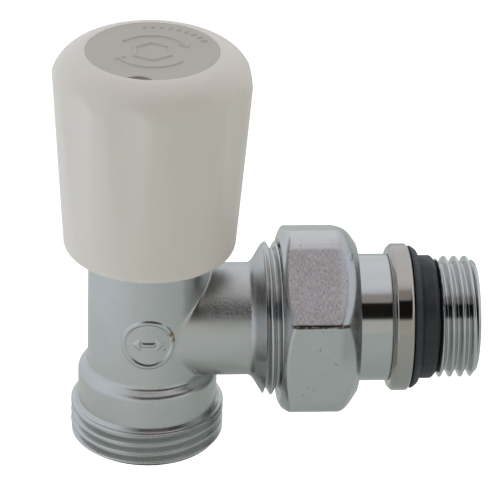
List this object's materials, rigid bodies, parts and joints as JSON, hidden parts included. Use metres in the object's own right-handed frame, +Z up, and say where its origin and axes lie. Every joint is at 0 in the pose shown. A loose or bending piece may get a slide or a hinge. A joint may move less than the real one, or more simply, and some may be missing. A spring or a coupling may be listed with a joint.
{
  "type": "lockshield valve",
  "caption": "Angled lockshield radiator valve with a fluted white protective cap, a hexagonal union nut and a threaded tailpiece with its own gasket.",
  "frame": {"origin": "centre of the inlet's bottom face, where the pipe's fitting enters", "axes": "+Z up along the spindle, +X along the union and tailpiece towards the radiator"},
  "size_m": [0.0731, 0.0338, 0.0732],
  "materials": {
    "chrome_satin": "satin chrome over shot-blasted forging",
    "chrome_forged": "satin chrome with forging texture",
    "chrome_polished": "polished chrome",
    "nickel": "turned nickel plate",
    "brass": "turned",
    "spring_steel": "bright",
    "white_plastic": "satin moulded",
    "beige_plastic": "matt moulded",
    "grey_plastic": "matt moulded",
    "slip_plastic": "waxy",
    "seal_rubber": "matt",
    "gasket_rubber": "satin"
  },
  "bodies": {
    "valve": {"valve_body": "chrome_satin", "bonnet": "brass", "bonnet_oring": "seal_rubber", "spindle_stop_clip": "spring_steel"},
    "shutter": {"obturator": "brass", "seat_washer": "seal_rubber", "washer_screw": "brass", "swivel_clip": "spring_steel"},
    "spindle": {"key_spindle": "brass", "spindle_oring_lower": "seal_rubber", "spindle_oring_upper": "seal_rubber"},
    "cap_carrier": {"cap_sleeve": "grey_plastic", "cap_grip_ring": "seal_rubber", "cap_snap_ring": "spring_steel"},
    "cap": {"cap_shell": "white_plastic"},
    "disc": {"cap_disc": "beige_plastic"},
    "nut_ring": {"union_slip_ring": "slip_plastic"},
    "nut": {"union_nut": "chrome_forged"},
    "tail": {"tailpiece": "chrome_polished", "tail_nose_oring": "seal_rubber", "thrust_ring": "nickel", "tail_gasket": "gasket_rubber"}
  },
  "joints": [
    {"name": "shutter_lift", "type": "slide", "parent": "valve", "child": "shutter", "axis": [0, 0, 1], "range_m": [-0.0019, 0.0016]},
    {"name": "spindle_turn", "type": "hinge", "parent": "shutter", "child": "spindle", "pos_m": [0, 0, 0.04], "axis": [0, 0, 1], "range_deg": [-684.1, 576.1]},
    {"name": "cap_lift", "type": "slide", "parent": "valve", "child": "cap_carrier", "axis": [0, 0, 1], "range_m": [0, 0.024]},
    {"name": "cap_spin", "type": "hinge", "parent": "cap_carrier", "child": "cap", "pos_m": [0, 0, 0.055], "axis": [0, 0, 1], "continuous": true},
    {"name": "disc_out", "type": "slide", "parent": "cap", "child": "disc", "axis": [0, 0, 1], "range_m": [0, 0.006]},
    {"name": "nut_travel", "type": "slide", "parent": "valve", "child": "nut_ring", "axis": [1, 0, 0], "range_m": [0, 0.005]},
    {"name": "nut_turn", "type": "hinge", "parent": "nut_ring", "child": "nut", "pos_m": [0.029, 0, 0.022], "axis": [1, 0, 0], "range_deg": [0, 992.5]},
    {"name": "tail_turn", "type": "hinge", "parent": "valve", "child": "tail", "pos_m": [0.04, 0, 0.022], "axis": [1, 0, 0], "continuous": true}
  ],
  "couplings": [
    {"joint": "spindle_turn", "follows": "shutter_lift", "rad_per_m": 6283.2},
    {"joint": "nut_turn", "follows": "nut_travel", "rad_per_m": 3463.7}
  ]
}
